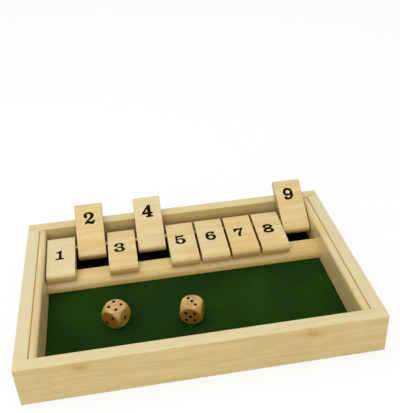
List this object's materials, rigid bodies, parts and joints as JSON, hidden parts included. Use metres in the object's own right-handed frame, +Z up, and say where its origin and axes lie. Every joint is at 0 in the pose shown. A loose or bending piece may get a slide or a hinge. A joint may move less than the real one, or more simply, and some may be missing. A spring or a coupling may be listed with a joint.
{
  "type": "shut the box game",
  "caption": "Shallow wooden dice game: numbered flaps flip over on a steel rod between a low rail and the back board, above a felt-lined tray with round-cornered wooden dice.",
  "frame": {"origin": "centre of the box's footprint, at the surface that it stands on", "axes": "+X to the player's right, +Y from the dice tray towards the flaps and the back board, +Z up"},
  "size_m": [0.22, 0.1482, 0.0406],
  "materials": {
    "pine_board": "satin clear lacquer",
    "pine_strip": "satin clear lacquer",
    "panel_wood": "raw sanded plywood",
    "green_felt": "matt pressed felt",
    "rod_steel": "bright drawn wire",
    "flap_wood": "satin clear lacquer with dark printed numerals",
    "dice_wood": "tumbled and waxed, with burnt pips"
  },
  "bodies": {
    "box": {"front_board": "pine_board", "back_board": "pine_board", "left_board": "pine_board", "right_board": "pine_board", "floor_panel": "panel_wood", "felt_sheet": "green_felt", "left_cheek": "pine_strip", "right_cheek": "pine_strip", "rail": "pine_strip", "rod": "rod_steel"},
    "flap_1_body": {"flap_1": "flap_wood"},
    "flap_2_body": {"flap_2": "flap_wood"},
    "flap_3_body": {"flap_3": "flap_wood"},
    "flap_4_body": {"flap_4": "flap_wood"},
    "flap_5_body": {"flap_5": "flap_wood"},
    "flap_6_body": {"flap_6": "flap_wood"},
    "flap_7_body": {"flap_7": "flap_wood"},
    "flap_8_body": {"flap_8": "flap_wood"},
    "flap_9_body": {"flap_9": "flap_wood"},
    "die_left_body": {"die_left": "dice_wood"},
    "die_right_body": {"die_right": "dice_wood"}
  },
  "joints": [
    {"name": "flap_1_hinge", "type": "hinge", "parent": "box", "child": "flap_1_body", "pos_m": [-0.08604, 0.04745, 0.0203], "axis": [-1, 0, 0], "range_deg": [0, 148.8]},
    {"name": "flap_2_hinge", "type": "hinge", "parent": "box", "child": "flap_2_body", "pos_m": [-0.06453, 0.04745, 0.0203], "axis": [-1, 0, 0], "range_deg": [-148.8, 0]},
    {"name": "flap_3_hinge", "type": "hinge", "parent": "box", "child": "flap_3_body", "pos_m": [-0.04302, 0.04745, 0.0203], "axis": [-1, 0, 0], "range_deg": [0, 148.8]},
    {"name": "flap_4_hinge", "type": "hinge", "parent": "box", "child": "flap_4_body", "pos_m": [-0.02151, 0.04745, 0.0203], "axis": [-1, 0, 0], "range_deg": [-148.8, 0]},
    {"name": "flap_5_hinge", "type": "hinge", "parent": "box", "child": "flap_5_body", "pos_m": [0, 0.04745, 0.0203], "axis": [-1, 0, 0], "range_deg": [0, 148.8]},
    {"name": "flap_6_hinge", "type": "hinge", "parent": "box", "child": "flap_6_body", "pos_m": [0.02151, 0.04745, 0.0203], "axis": [-1, 0, 0], "range_deg": [0, 148.8]},
    {"name": "flap_7_hinge", "type": "hinge", "parent": "box", "child": "flap_7_body", "pos_m": [0.04302, 0.04745, 0.0203], "axis": [-1, 0, 0], "range_deg": [0, 148.8]},
    {"name": "flap_8_hinge", "type": "hinge", "parent": "box", "child": "flap_8_body", "pos_m": [0.06453, 0.04745, 0.0203], "axis": [-1, 0, 0], "range_deg": [0, 148.8]},
    {"name": "flap_9_hinge", "type": "hinge", "parent": "box", "child": "flap_9_body", "pos_m": [0.08604, 0.04745, 0.0203], "axis": [-1, 0, 0], "range_deg": [-148.8, 0]},
    {"name": "die_left_lift", "type": "slide", "parent": "box", "child": "die_left_body", "axis": [0, 0, 1], "range_m": [0, 0.06]},
    {"name": "die_right_lift", "type": "slide", "parent": "box", "child": "die_right_body", "axis": [0, 0, 1], "range_m": [0, 0.06]}
  ]
}
